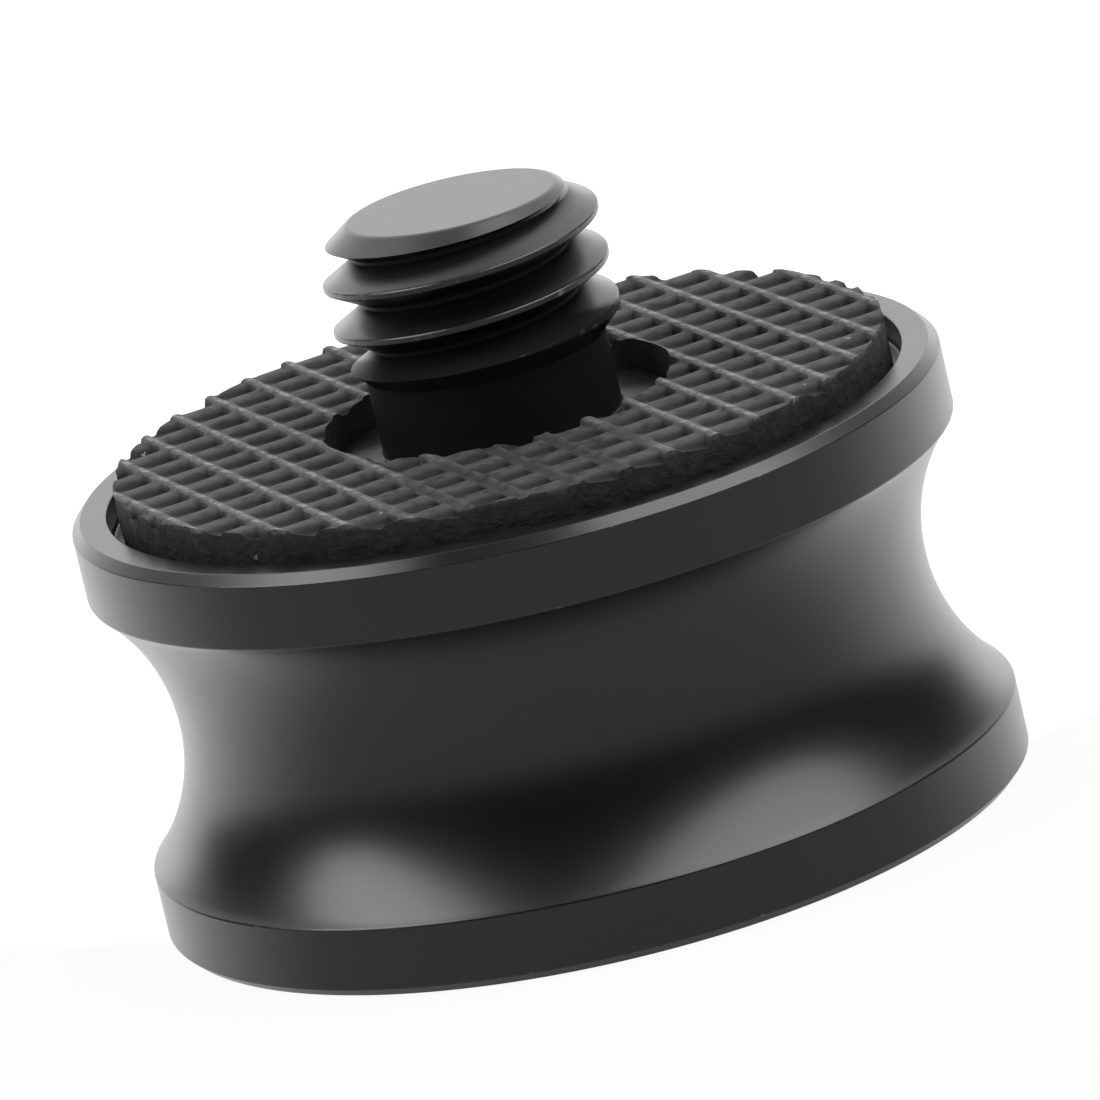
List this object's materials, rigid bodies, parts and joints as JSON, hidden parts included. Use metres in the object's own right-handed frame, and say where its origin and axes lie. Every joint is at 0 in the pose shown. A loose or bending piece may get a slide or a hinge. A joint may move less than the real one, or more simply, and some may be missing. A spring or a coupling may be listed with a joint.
{
  "type": "tripod thread adapter",
  "caption": "Spool-shaped tripod thread adapter: a turned black body with a threaded stud, a waffle rubber pad round the stud and a tapped socket underneath.",
  "frame": {"origin": "centre of the base face, on the axis of the stud and the socket", "axes": "+Z along the axis, from the base to the tip of the stud; +X to the right of the camera in the picture"},
  "size_m": [0.0296, 0.0296, 0.0225],
  "materials": {
    "black_anodised_aluminium": "satin black anodising on turned aluminium",
    "black_rubber": "matt moulded rubber with a waffle grid"
  },
  "bodies": {
    "root": {"adapter_body": "black_anodised_aluminium", "rubber_pad": "black_rubber"}
  },
  "joints": []
}
